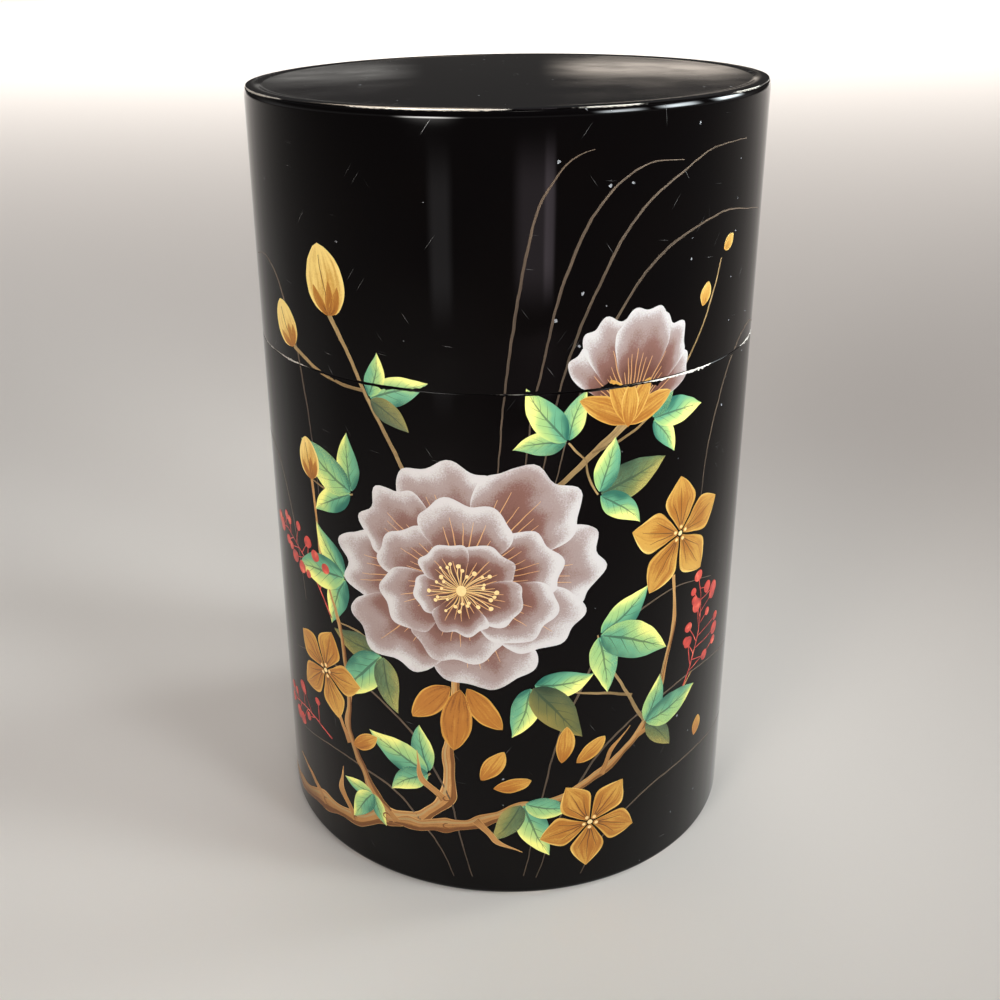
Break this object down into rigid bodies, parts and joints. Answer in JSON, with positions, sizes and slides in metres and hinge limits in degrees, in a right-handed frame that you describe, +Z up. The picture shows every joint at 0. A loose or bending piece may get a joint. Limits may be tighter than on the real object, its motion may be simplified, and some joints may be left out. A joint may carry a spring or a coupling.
{
  "type": "tea caddy",
  "caption": "Cylindrical lacquered tinplate tea caddy: canister with a neck sleeve, flush slip-over lid, dished inner lid with a turned knob, and a painted flower spray.",
  "frame": {"origin": "centre of the foot, on the surface that the caddy stands on", "axes": "+Z up along the axis of the caddy; the painted side faces -Y"},
  "size_m": [0.076, 0.076, 0.1194],
  "materials": {
    "black_lacquer": "black lacquer on tinplate, mirror gloss, with fine scratches, dust and small chips at the joint",
    "tinplate": "bare tinplate, satin, with fine drawing lines",
    "brass": "turned brass, lightly dulled",
    "lacquer_painting": "thin raised coloured lacquer with gold powder, brushed by hand, softly glossy"
  },
  "bodies": {
    "canister": {"canister_wall": "black_lacquer", "base_plate": "black_lacquer", "neck_sleeve": "tinplate"},
    "inner_lid": {"inner_lid_dish": "tinplate", "inner_lid_knob": "brass", "knob_washer": "tinplate", "knob_rivet": "brass"},
    "lid": {"lid_wall": "black_lacquer", "lid_top_plate": "black_lacquer"}
  },
  "joints": [
    {"name": "inner_lid_lift", "type": "slide", "parent": "canister", "child": "inner_lid", "axis": [0, 0, 1], "range_m": [0, 0.03]},
    {"name": "lid_lift", "type": "slide", "parent": "inner_lid", "child": "lid", "axis": [0, 0, 1], "range_m": [0, 0.06]}
  ]
}
